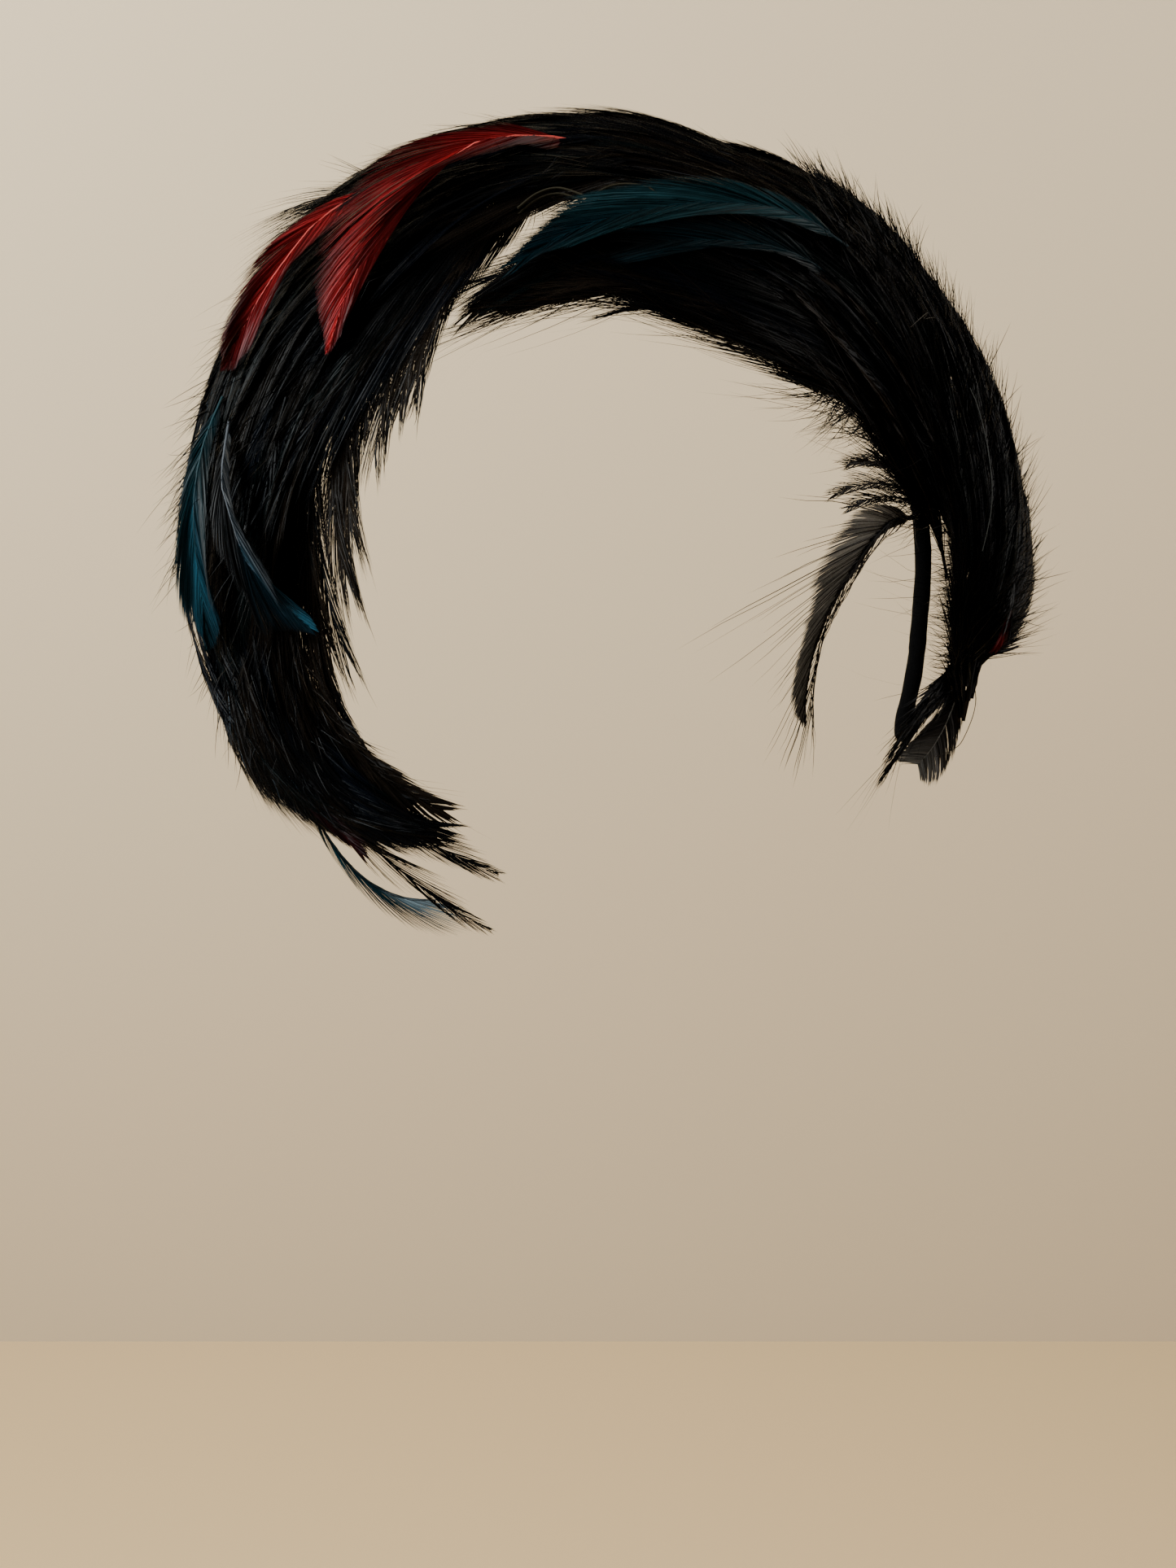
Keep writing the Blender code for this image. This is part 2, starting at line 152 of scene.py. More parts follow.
class Bunch:
    """Points, triangles and colours of many small strips in mm, gathered for one mesh in metres."""

    def __init__(self):
        self.points = []
        self.faces = []
        self.dyes = []
        self.keys = []
        self.total = 0

    def add(self, points, faces, dyes, keys):
        """Adds points with their triangles and colours. A key numbers the strip that a row is part of."""
        self.points.append(points.reshape(-1, 3))
        self.keys.append(np.repeat(keys, len(self.points[-1]) // len(points)))
        self.dyes.append(np.broadcast_to(dyes, points.shape[:-1] + (3,)).reshape(-1, 3))
        self.faces.append(faces.reshape(-1, 3) + self.total)
        self.total += len(self.points[-1])

    def strips(self, centres, sideways, dyes):
        """Flat tapering strips: centres and half widths are strip, station, xyz. The last is the point."""
        count, stations = centres.shape[:2]
        pairs = np.stack([centres - sideways, centres + sideways], 2)[:, :-1].reshape(count, -1, 3)
        points = np.concatenate([pairs, centres[:, -1:]], 1)
        tints = np.concatenate([np.repeat(dyes[:, :-1], 2, 1), dyes[:, -1:]], 1)
        faces = []
        for k in range(stations - 2):
            faces += [(2 * k, 2 * k + 1, 2 * k + 3), (2 * k, 2 * k + 3, 2 * k + 2)]
        faces.append((2 * stations - 4, 2 * stations - 3, 2 * stations - 2))
        starts = np.arange(count)[:, None, None] * points.shape[1]
        self.add(points, np.array(faces)[None] + starts, tints, np.arange(count))

    def tube(self, centres, ups, acrosses, radii, dyes, sides=3, closed=False):
        """One tube round a line of centres."""
        turns = 2 * np.pi * np.arange(sides) / sides
        rounds = np.cos(turns)[:, None] * ups[:, None] + np.sin(turns)[:, None] * acrosses[:, None]
        points = centres[:, None] + rounds * np.asarray(radii).reshape(len(centres), -1, 1)
        count = len(centres)
        i = np.arange(count if closed else count - 1)[:, None] * sides
        j = np.arange(sides)[None]
        ahead = (i + sides) % (count * sides)
        a, b = i + j, i + (j + 1) % sides
        c, d = ahead + (j + 1) % sides, ahead + j
        faces = np.stack([np.stack([a, b, c], -1), np.stack([a, c, d], -1)], 2)
        self.add(points, faces, dyes, np.zeros(count, int))

    def piece(self, name, finish, slot, *nodes):
        """The mesh as a piece of the object, which stands for the nodes."""
        points = np.concatenate(self.points) * 0.001
        faces = np.concatenate(self.faces)
        mesh = bpy.data.meshes.new(name)
        mesh.vertices.add(len(points))
        mesh.vertices.foreach_set("co", points.ravel())
        mesh.loops.add(faces.size)
        mesh.loops.foreach_set("vertex_index", faces.ravel())
        mesh.polygons.add(len(faces))
        mesh.polygons.foreach_set("loop_start", np.arange(0, faces.size, 3))
        dye = mesh.attributes.new("dye", "FLOAT_COLOR", "POINT")
        dyes = np.concatenate(self.dyes)
        dye.data.foreach_set("color", np.hstack([dyes, np.ones((len(dyes), 1))]).ravel())
        mesh.update(calc_edges=True)
        mesh.materials.append(finish)
        made = bpy.data.objects.new(name, mesh)
        bpy.context.collection.objects.link(made)
        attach(made, "root")
        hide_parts(*nodes)


class Tone:
    """A socket of a material. Sums and products of tones add Math nodes."""

    def __init__(self, tree, socket=None):
        self.tree = tree
        self.socket = socket

    def node(self, kind, settings, inputs, output=0):
        """A node with its settings, then the values or tones of its sockets."""
        made = self.tree.nodes.new(kind)
        for name, value in settings.items():
            setattr(made, name, value)
        for name, value in inputs.items():
            if isinstance(value, Tone):
                self.tree.links.new(value.socket, made.inputs[name])
            else:
                made.inputs[name].default_value = value
        return Tone(self.tree, made.outputs[output])

    def math(self, operation, left, right):
        return self.node("ShaderNodeMath", {"operation": operation}, {0: left, 1: right})

    def __add__(self, other):
        return self.math("ADD", self, other)

    def __radd__(self, other):
        return self.math("ADD", other, self)

    def __mul__(self, other):
        return self.math("MULTIPLY", self, other)

    def __rmul__(self, other):
        return self.math("MULTIPLY", other, self)


def finish_of(name, constants):
    """A new material with its plain numbers set, and its shader and a tone to start its nodes from."""
    material = bpy.data.materials.new(name)
    material.use_nodes = True
    shader = material.node_tree.nodes["Principled BSDF"]
    for socket, value in constants.items():
        shader.inputs[socket].default_value = value
    return material, shader, Tone(material.node_tree)


def feed(tone, shader, socket):
    """Lets a tone drive a socket of the shader."""
    tone.tree.links.new(tone.socket, shader.inputs[socket])


def roughen(height, shader, strength, distance):
    """Lets a tone raise small bumps on the shader, by a strength and a distance in m."""
    bump = height.node("ShaderNodeBump", {}, {"Strength": strength, "Distance": distance, "Height": height})
    feed(bump, shader, "Normal")


def velvet():
    """Soft pile: a dull dark colour that lightens where the pile is brushed, with a pale bloom at the rim."""
    material, shader, start = finish_of(
        "black_velvet",
        {"Sheen Weight": 0.012, "Sheen Roughness": 0.4, "Specular IOR Level": 0.06},
    )
    where = start.node("ShaderNodeTexCoord", {}, {}, "Object")
    brushed = start.node("ShaderNodeTexNoise", {}, {"Vector": where, "Scale": 260.0, "Detail": 3.0})
    pile = start.node("ShaderNodeTexNoise", {}, {"Vector": where, "Scale": 3200.0, "Detail": 2.0})
    dye = start.node("ShaderNodeVertexColor", {"layer_name": "dye"}, {})
    shade = brushed * 0.9 + pile * 0.9 + 0.1
    lit = start.node("ShaderNodeVectorMath", {"operation": "SCALE"}, {0: dye, "Scale": shade})
    feed(lit, shader, "Base Color")
    feed(0.82 + brushed * 0.15, shader, "Roughness")
    roughen(pile, shader, 0.5, 0.0002)
    return material


rng = np.random.default_rng(7)
ring = WIRE_LOOP[-2:] + WIRE_LOOP + WIRE_LOOP[:2]
shares = (2 + len(WIRE_LOOP) * np.arange(TUBE_SECTIONS) / TUBE_SECTIONS) / (len(ring) - 1)
line = along(ring, shares)
centres = on_head(line.arch, line.fore, line.off)
ways = unit(np.roll(centres, -1, 0) - np.roll(centres, 1, 0))
ups = stand_off(centres, line.off)[1]
sides = unit(np.cross(ways, ups))
ups = np.cross(sides, ways)
tucks = np.sin(np.arange(TUBE_SECTIONS) * TUBE_TUCKS)[:, None]
tucks = tucks * np.sin(np.arange(TUBE_SIDES) * TUBE_TUCKS + 1)[None]
radii = 0.98 + TUBE_TUCK_DEPTH * tucks + 0.015 * rng.standard_normal((TUBE_SECTIONS, TUBE_SIDES))
radii = radii * line.radius[:, None]
wire = Bunch()
wire.tube(centres, ups, sides, radii, VELVET_BLACK, TUBE_SIDES, closed=True)
at = rng.integers(0, TUBE_SECTIONS, PILE_HAIRS)
slide = rng.random(PILE_HAIRS)[:, None]
turns = rng.random(PILE_HAIRS)[:, None] * 2 * np.pi
ahead = (at + 1) % TUBE_SECTIONS
outwards = unit(ups[at] * np.cos(turns) + sides[at] * np.sin(turns))
roots = centres[at] * (1 - slide) + centres[ahead] * slide + outwards * line.radius[at, None] * 0.95
tips = roots + outwards * rng.uniform(*PILE_LENGTHS, (PILE_HAIRS, 1))
tips = tips + PILE_BEND * rng.standard_normal((PILE_HAIRS, 3))
widths = np.cross(outwards, ways[at]) * PILE_WIDTH
hairs = np.stack([roots, tips], 1)
wire.strips(hairs, np.stack([widths, widths], 1), np.broadcast_to(VELVET_BLACK, (PILE_HAIRS, 2, 3)))
wire.piece("velvet_wire_loop", velvet(), "velvet_tube", "wire_frame")


# The lowest tier covers the right temple and cheek. Its cock feathers are tied in bunches to the wire
# and swept forward, and the last of them end in three loose points on the cheek. Single dyed feathers
# rest on the tiers, so the black barbs under them lie flat.
Section = namedtuple("Section", "arch fore half front_floor rear_floor thick")
CHEEK = (
    Section(151, -32, 28, 9, 13.4, 1.6),
    Section(159, -41, 30, 8, 13.2, 1.8),
    Section(168, -49, 26, 7.8, 12.8, 2.6),
    Section(175, -60, 19, 7.6, 12, 3.8),
    Section(180, -71, 14, 6.8, 9.4, 3.8),
    Section(184, -80, 10, 6, 8.4, 3),
    Section(188, -88, 6, 5.4, 7, 1.8),
)
Point = namedtuple("Point", "arch fore off half", defaults=[0])
CHEEK_POINTS = (
    (Point(172, -66, 9, 4), Point(177, -75, 8.4, 4.4), Point(181, -82, 7, 4), Point(185, -88, 6, 2)),
    (
        Point(177, -68, 9, 4),
        Point(184, -81, 8, 4.4),
        Point(191, -90, 7, 3.6),
        Point(199, -95, 7, 2.4),
        Point(210, -98, 7, 0.8),
    ),
    (
        Point(183, -70, 8, 3.6),
        Point(191, -79, 7.4, 3.8),
        Point(198, -86, 7, 3.2),
        Point(210, -91, 6.8, 2.2),
        Point(224, -94, 6.6, 0.8),
    ),
)
RESTING = {
    "red_feather_long": (
        Point(92, -16, 9, 3.6),
        Point(101, -25, 10, 4.8),
        Point(109, -31, 11, 5.4),
        Point(119, -41, 11, 5),
        Point(127, -50, 11, 3.4),
        Point(132.5, -56, 11, 0.8),
    ),
    "red_feather_short": (
        Point(121, -17, 13, 2.4),
        Point(127, -24, 15, 3.8),
        Point(134, -30, 18.2, 3.8),
        Point(142, -32, 20.2, 3.2),
        Point(150, -25, 20, 1.2),
    ),
    "red_feather_temple": (
        Point(12, -42, 17.5, 0.6),
        Point(10, -47, 17, 1.6),
        Point(8, -51, 16, 2.2),
        Point(5, -54, 14.5, 1.6),
    ),
    "red_feather_cheek": (
        Point(178, -62, 10, 1),
        Point(183, -72, 10, 1.6),
        Point(187, -80, 9, 1.9),
        Point(192, -86, 8, 1.6),
        Point(198, -90, 7.5, 0.5),
    ),
    "teal_feather_upper": (
        Point(149, -32, 16, 1.2),
        Point(155, -45, 17, 3.6),
        Point(161, -53, 17, 4.2),
        Point(167, -58, 16, 3.2),
        Point(172, -58, 15, 1.8),
    ),
    "teal_feather_lower": (
        Point(149, -44, 16, 1.2),
        Point(152, -54, 15, 3.4),
        Point(155, -64, 16.6, 3.6),
        Point(158, -71, 12.8, 2.8),
        Point(160, -77, 8, 1.4),
    ),
    "teal_feather_forehead": (
        Point(54, -32, 10, 1.8),
        Point(62, -35.5, 9.4, 4.2),
        Point(71, -41, 9, 4.6),
        Point(83, -48, 8, 3.4),
        Point(96, -53, 6.6, 2),
        Point(108, -57, 5.6, 1),
    ),
}
PLAIN_CROSSING = 0.05
CROSSINGS = {
    "red_feather_temple": 0.75,
    "red_feather_cheek": 0.85,
    "teal_feather_forehead": 0.12,
    "teal_feather_upper": 0.45,
    "teal_feather_lower": 0.15,
}
PLAIN_TILT = 0.15
TILTS = {
    "red_feather_short": 0.9,
    "teal_feather_upper": 0.9,
    "teal_feather_lower": 0.5,
    "red_feather_long": 0.3,
}
INK = (0.0012, 0.0013, 0.0015)
# Near-black dyes for the cock feathers; the green- and blue-tinted ones paint the feathers' iridescent sheen.
BLACKS_AND_SHEEN = (INK, (0.0008, 0.0018, 0.0019), (0.0008, 0.0012, 0.0021), (0.0026, 0.0018, 0.0012))
UMBER = (0.006, 0.0042, 0.0028)
# Greyer quills, lightened to paint the window's glint along some of the quills.
GLINTING_QUILL_GREY = (0.012, 0.0125, 0.014)
# Pale blue-white barbs: painted glints of the window on the black plumage.
PAINTED_GLINT = (0.05, 0.065, 0.08)
HEAD_BEND = 85
QUILL_STATIONS = 10
QUILL_END = 0.04
CLUMP_CHANCE = 0.28
CLUMP_PULL = 0.7
SLANT_PLACES = (0, 0.35, 1)
UNEVEN = 0.16
SHORTEST_BARB = 0.5
TIP_ROOM = 0.72
BARB_TAPER = 0.72
BARB_TWIST = 0.28
STREAK_TONE = 0.35
DARKEST = 0.0003
# A barbing's spacing, width and lift are in mm, and its slants in degrees at the slant places.
Barbing = namedtuple("Barbing", "spacing width slants loose lift stations streaks")
FINE = Barbing(spacing=0.29, width=0.2, slants=(21, 12, 7.5), loose=0.27, lift=0.4, stations=4, streaks=0)
COARSE = Barbing(spacing=0.75, width=0.6, slants=(36, 24, 16), loose=0.5, lift=0.3, stations=3, streaks=0)
WISPY = Barbing(spacing=0.7, width=0.17, slants=(18, 11, 8), loose=0.45, lift=0.5, stations=6, streaks=0)


def hackle_shape(t):
    """How wide a cock hackle is at a share of its length: soft at the quill, then long to a point."""
    return np.clip(0.5 + 2.6 * t, 0, 1) * (1 - 0.8 * t**2.6)


def plume(
    bunch,
    spine,
    outs,
    half,
    barbing,
    dyes,
    rng,
    roll=0.0,
    bare=0.05,
    shape=hackle_shape,
    vanes=((1, 1), (1, 1)),
    edge=1.0,
    quill_dye=INK,
    quill_radius=0.34,
    past=99.0,
):
    """One feather: a tapered quill along the spine, and barbs that slant off it and split into points.

    The dyes run from the quill's root to its tip. The vanes are the tone and the width of either side, and a
    darker vane's tone is partly the feather's own colour and partly painted shade on that half. The edge is
    the tone at a vane's edge; on the red feathers its fall from the quill paints a gloss band along the
    quill. No barb reaches further past the quill's tip than past.
    """
    steps = np.linspace(0, 1, len(spine))
    ways = unit(np.gradient(spine, axis=0))
    runs = np.concatenate([[0], np.cumsum(np.linalg.norm(np.diff(spine, axis=0), axis=1))])
    length = runs[-1]

    def at(values, places):
        return np.stack([np.interp(places, runs / length, values[:, k]) for k in range(3)], -1)

    acrosses = unit(np.cross(ways, outs))
    ups = np.cross(acrosses, ways)
    rolls = roll * (0.6 + 0.8 * steps)[:, None]
    leans = acrosses * np.cos(rolls) + ups * np.sin(rolls)
    tops = ups * np.cos(rolls) - acrosses * np.sin(rolls)
    quill = np.linspace(0, 1, QUILL_STATIONS)
    radii = quill_radius * (1 - quill) ** 0.8 + QUILL_END
    bunch.tube(at(spine, quill), at(tops, quill), at(leans, quill), radii, quill_dye)

    count = int(length * (1 - bare) / barbing.spacing)
    u = np.linspace(0, 1, barbing.stations)[None, :, None]
    dyes = np.atleast_2d(dyes)
    # A vane's tone is partly the feather's own colour and partly painted shade on that half of the feather.
    for hand, (tone, width) in zip((-1, 1), vanes):
        places = bare + (1 - bare) * (np.arange(count) + rng.random(count)) / count
        clumps = np.cumsum(rng.random(count) < CLUMP_CHANCE)
        heads = np.bincount(clumps, places) / np.maximum(np.bincount(clumps), 1)
        pulls = rng.normal(0, 1, (clumps[-1] + 1, 4))[clumps]
        jitter = rng.normal(0, 1, (count, 4))
        lines = (spine, ways, leans, tops, ups)
        spot, way, lean, top, out = (at(values, places)[:, None] for values in lines)
        slants = np.interp(places, SLANT_PLACES, barbing.slants)
        slants = np.radians(slants * (1 + UNEVEN * barbing.loose * jitter[:, 0]))[:, None, None]
        reach = half * width * shape(places) * (1 + UNEVEN * barbing.loose * (jitter[:, 1] + pulls[:, 1]))
        reach = np.clip(reach, SHORTEST_BARB, None)[:, None, None]
        room = (TIP_ROOM * length * (1 - places) + past)[:, None, None]
        reach = np.minimum(reach, room * np.tan(slants))
        drift = (heads[clumps] - places) * length * CLUMP_PULL + barbing.loose * pulls[:, 0]
        lifts = barbing.lift * np.clip(0.35 + 0.7 * pulls[:, 2] + 0.4 * jitter[:, 2], -0.2, 4)[:, None, None]
        waves = 0.3 * barbing.loose * rng.normal(0, 1, (count, barbing.stations, 2)) * u
        over = reach * (1.35 * u - 0.35 * u**2) + waves[..., :1]
        ahead = reach * u / np.tan(slants) + drift[:, None, None] * u**2
        centres = spot + way * ahead + top * (lifts * u**1.6 + waves[..., 1:]) + lean * (hand * over)
        centres = centres - out * ((over**2 + ahead**2) / (2 * HEAD_BEND))
        sideways = (lean * np.cos(slants) - hand * way * np.sin(slants)) * (barbing.width / 2)
        sideways = sideways + top * (BARB_TWIST * barbing.width * jitter[:, 3, None, None])
        sideways = sideways * (1 - BARB_TAPER * u**1.8)
        marks = np.linspace(0, 1, len(dyes))
        dye = np.stack([np.interp(places, marks, dyes[:, k]) for k in range(3)], -1)
        shade = tone * (1 + 0.15 * jitter[:, 0] + 0.2 * pulls[:, 3])
        shade = shade * np.where(rng.random(count) < barbing.streaks, STREAK_TONE, 1)
        # Darkening the barbs from the quill to the edge tone paints the red feathers' gloss band along the
        # quill.
        dye = dye[:, None] * shade[:, None, None] * (1 + (edge - 1) * u)
        bunch.strips(centres, sideways, np.clip(dye, DARKEST, 1))


Rest = namedtuple("Rest", "spine outs halves crossing")
REST_STATIONS = 22
REST_START = 8
REST_RAY = 30
REST_WIDTH = 1.2
FACE_WAY = np.array((0, -0.9, 0.4))


def rest(points, crossing, tilt, node=None):
    """The middle line of a feather that rests on the tiers, at its solid where there is one."""
    row = along(points, np.linspace(0, 1, REST_STATIONS))
    offs = row.off
    if node:
        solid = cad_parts[node].data
        corners = [vertex.co.copy() for vertex in solid.vertices]
        tree = BVHTree.FromPolygons(corners, [tuple(face.vertices) for face in solid.polygons])
        start = row.off + REST_START
        high = on_head(row.arch, row.fore, start)
        outs = stand_off(high, start)[1]
        rays = [(Vector(place * 0.001), Vector(-out)) for place, out in zip(high, outs)]
        hits = [tree.ray_cast(place, way, REST_RAY * 0.001)[3] for place, way in rays]
        found = [k for k, hit in enumerate(hits) if hit is not None]
        offs = start - np.interp(range(REST_STATIONS), found, [hits[k] * 1000 for k in found])
    spine = on_head(row.arch, row.fore, offs)
    outs = unit(stand_off(spine, offs)[1] + tilt * FACE_WAY)
    return Rest(spine, outs, row.half * REST_WIDTH, crossing)


PRESS_REACH = 9
PRESS_BATCH = 20000
PRESS_MARGIN = 0.6
PRESS_DEPTH = 0.4
QUILL_CROSSING = 0.7
QUILL_FADE = 6
GOLDEN_TURN = 0.618034


def press(bunch, rests):
    """Flattens what stands over the feathers that rest on a bunch, apart from some barbs that cross them."""
    points = np.concatenate(bunch.points)
    turns = np.concatenate(bunch.keys) * GOLDEN_TURN % 1
    for feather in rests.values():
        low, high = feather.spine.min(0) - PRESS_REACH, feather.spine.max(0) + PRESS_REACH
        near = np.flatnonzero(((points > low) & (points < high)).all(1))
        for part in np.array_split(near, len(near) // PRESS_BATCH + 1):
            gaps = points[part][:, None] - feather.spine[None]
            nearest = (gaps**2).sum(-1).argmin(1)
            gap = gaps[np.arange(len(part)), nearest]
            out = feather.outs[nearest]
            rise = (gap * out).sum(1)
            beside = np.linalg.norm(gap - out * rise[:, None], axis=1)
            crossing = feather.crossing + QUILL_CROSSING * np.clip(1 - nearest / QUILL_FADE, 0, 1)
            over = (beside < feather.halves[nearest] + PRESS_MARGIN) & (rise > -PRESS_DEPTH)
            over = over & (turns[part] > crossing)
            points[part[over]] -= out[over] * (rise[over] + PRESS_DEPTH)[:, None]
    bunch.points = [points]


FLOW_STEP = 0.02


def lie(rows, shares, sides, depths):
    """Places in a tier, from depth 0 at its underside to 1 at its top, and the ways outwards."""
    row = along(rows, shares)
    ahead, behind = along(rows, shares + FLOW_STEP), along(rows, shares - FLOW_STEP)
    spots = on_head(row.arch, row.fore, row.front_floor)
    flow = on_head(ahead.arch, ahead.fore, row.front_floor)
    flow = flow - on_head(behind.arch, behind.fore, row.front_floor)
    across = unit(np.cross(unit(flow), stand_off(spots, row.front_floor)[1]))
    floor = row.front_floor + (row.rear_floor - row.front_floor) * (np.clip(sides, -1, 1) + 1) / 2
    crest = row.thick * (0.4 + 0.6 * (1 - np.minimum(np.abs(sides), 1) ** 2))
    return stand_off(spots + across * (sides * row.half)[:, None], floor + crest * depths)


# A laying's start and length are shares of the tier's length, its depth one of the tier's thickness.
Laying = namedtuple("Laying", "start count length half depth spread")
SPINE_STATIONS = 14
START_SHIFT = 0.04
LENGTH_RANGE = (0.88, 1.12)
WIDTH_RANGE = (0.85, 1.15)
DYE_RANGE = (0.7, 1.5)
GLINTING_QUILL_CHANCE = 0.12
ROLL_SPREAD = 0.16


def lay(bunch, rows, layings, barbing, rng, dyes=BLACKS_AND_SHEEN, reach=1.0):
    """Rows of feathers across a tier, from its quills on, each a little out of line with the next."""
    t = np.linspace(0, 1, SPINE_STATIONS)
    for laying in layings:
        for k in range(laying.count):
            side = (2 * (k + 0.5) / laying.count - 1) * reach + rng.normal(0, 0.5 / laying.count)
            start = laying.start + rng.uniform(-START_SHIFT, START_SHIFT)
            length = laying.length * rng.uniform(*LENGTH_RANGE)
            sides = side * (1 + (laying.spread - 1) * t) + rng.normal(0, 0.05) * t**2
            depths = laying.depth * (0.75 + 0.25 * t) + rng.normal(0, 0.06)
            spine, outs = lie(rows, start + length * t, sides, depths)
            dye = np.array(dyes[rng.integers(len(dyes))]) * rng.uniform(*DYE_RANGE)
            half = laying.half * rng.uniform(*WIDTH_RANGE)
            # Some feathers get a lighter quill, which paints a glint along it.
            quill_dye = GLINTING_QUILL_GREY if rng.random() < GLINTING_QUILL_CHANCE else dye
            roll = rng.normal(0, ROLL_SPREAD)
            plume(bunch, spine, outs, half, barbing, dye, rng, roll=roll, quill_dye=quill_dye)


def under_layers(bunch, rows, counts, half, rng, reach=1.0):
    """Three closed rows of broad barbs that keep daylight out from below."""
    layings = [Laying(0.25 * k, count, 0.5, half, 0.1, 1) for k, count in enumerate(counts)]
    lay(bunch, rows, layings, COARSE, rng, dyes=(INK, UMBER), reach=reach)


def place_feather(bunch, points, barbing, dyes, rng, lift=0.0, **extra):
    """One feather along a table's points. Its width is the table's, not the plain hackle's."""
    t = np.linspace(0, 1, REST_STATIONS)
    row = along(points, t)
    spine = on_head(row.arch, row.fore, row.off + lift)
    outs = stand_off(spine, row.off + lift)[1]
    widest = max(p.half for p in points)
    extra["shape"] = lambda s: np.interp(s, t, row.half) / widest
    plume(bunch, spine, outs, widest, barbing, dyes, rng, **extra)


def hang_wisps(bunch, wisps, off, rng):
    """Thin hackles that leave a tier's edge and hang open beyond it, in two loose layers."""
    t = np.linspace(0, 1, SPINE_STATIONS)
    for wisp in wisps:
        for layer in range(2):
            sway = rng.normal(0, 1.5, 2)
            arch = wisp.arch + (wisp.tip_arch - wisp.arch + sway[0]) * t
            fore = wisp.fore + (wisp.tip_fore - wisp.fore + sway[1]) * t**1.2
            spine = on_head(arch, fore, off - layer)
            dye = (UMBER, INK)[layer]
            plume(bunch, spine, stand_off(spine, off - layer)[1], wisp.half, WISPY, dye, rng, quill_dye=dye)


ROOT_DEPTH = 0.8
STRAY_SPREAD = 12
BRISTLE_STATIONS = 5


def bristle(
    bunch, rows, count, length, rise, stray, rng, dye=INK, sides=(-1, 1), shares=(0.05, 1), width=0.14
):
    """Loose single barbs that stand off a tier, turned from its flow by the stray and up by the rise."""
    place = rng.uniform(*shares, count)
    side = rng.uniform(*sides, count)
    roots, outs = lie(rows, place, side, ROOT_DEPTH)
    ways = unit(lie(rows, place + FLOW_STEP, side, ROOT_DEPTH)[0] - roots)
    acrosses = np.cross(ways, outs) * np.sign(side)[:, None]
    turns = np.radians(rng.normal(stray, STRAY_SPREAD, count))[:, None]
    climbs = np.radians(rise * np.abs(rng.normal(1, 0.5, count)))[:, None]
    aims = (ways * np.cos(turns) + acrosses * np.sin(turns)) * np.cos(climbs) + outs * np.sin(climbs)
    curls = ways * rng.normal(0.25, 0.2, (count, 1)) + outs * rng.normal(0, 0.12, (count, 1))
    longs = (length * rng.uniform(0.45, 1.35, count))[:, None, None]
    u = np.linspace(0, 1, BRISTLE_STATIONS)[None, :, None]
    centres = roots[:, None] + longs * (aims[:, None] * u + curls[:, None] * u**2)
    sideways = unit(np.cross(aims, rng.normal(0, 1, (count, 3))))[:, None] * (width / 2) * (1 - 0.8 * u)
    bunch.strips(centres, sideways, np.array(dye) * rng.uniform(*DYE_RANGE, (count, 1, 1)) * np.ones_like(u))


def feather_finish(name, constants, shades, roughness):
    """Dyed barbs: the dye clouded and ribbed by the shades, over a satin to glossy surface."""
    material, shader, start = finish_of(name, constants)
    where = start.node("ShaderNodeTexCoord", {}, {}, "Object")
    cloud = start.node("ShaderNodeTexNoise", {}, {"Vector": where, "Scale": 110.0, "Detail": 2.0})
    grain = start.node("ShaderNodeTexNoise", {}, {"Vector": where, "Scale": 2600.0, "Detail": 2.0})
    dye = start.node("ShaderNodeVertexColor", {"layer_name": "dye"}, {})
    plain, clouded, grained = shades
    shade = plain + cloud * clouded + grain * grained
    lit = start.node("ShaderNodeVectorMath", {"operation": "SCALE"}, {0: dye, "Scale": shade})
    feed(lit, shader, "Base Color")
    feed(roughness + grain * 0.25, shader, "Roughness")
    roughen(grain, shader, 0.25, 0.00008)
    return material


black_feather = feather_finish("black_cock_feather", {"Specular IOR Level": 0.02}, (0.45, 0.6, 0.5), 0.13)
rests = {}
for node, points in RESTING.items():
    rests[node] = rest(points, CROSSINGS.get(node, PLAIN_CROSSING), TILTS.get(node, PLAIN_TILT), node)
TEAL_UNDER = (
    Point(50, -35, 11, 1.5),
    Point(57, -38, 10, 3),
    Point(65, -43, 9.6, 3.6),
    Point(76, -50, 9, 3),
    Point(90, -54, 7.4, 1),
)
rests["under"] = rest(TEAL_UNDER, 0.3, PLAIN_TILT)
CHEEK_LAP = (
    Section(148, -31, 31, 14, 21, 1),
    Section(158, -39, 31, 13.5, 20, 1),
    Section(168, -50, 24, 11.6, 16.5, 1),
    Section(176, -63, 15, 9.8, 13.4, 1),
    Section(183, -78, 8, 7.8, 9.6, 1),
    Section(189, -90, 5, 6, 7, 1),
)
Wisp = namedtuple("Wisp", "arch fore tip_arch tip_fore half")
CHEEK_WISPS = (
    Wisp(142, -53, 160, -72, 4),
    Wisp(148, -58, 168, -75, 4),
    Wisp(154, -64, 175, -81, 3.6),
    Wisp(161, -69, 180, -86, 3.4),
)
cheek = Bunch()
rng = np.random.default_rng(21)
under_layers(cheek, CHEEK, (9, 8, 7), 6.6, rng, reach=0.92)
CHEEK_ROWS = (
    Laying(0.52, 6, 0.5, 4, 0.7, 0.8),
    Laying(0.4, 7, 0.52, 5, 0.8, 0.85),
    Laying(0.26, 8, 0.5, 6, 0.85, 1),
    Laying(0.12, 9, 0.48, 6.4, 0.9, 1),
    Laying(0, 10, 0.46, 6.6, 0.9, 1),
)
lay(cheek, CHEEK, CHEEK_ROWS, FINE, rng, reach=0.92)
CHEEK_LAP_ROWS = [Laying(0, 9, 0.6, 5, 0.5, 0.9), Laying(0.3, 8, 0.62, 3.8, 0.5, 0.7)]
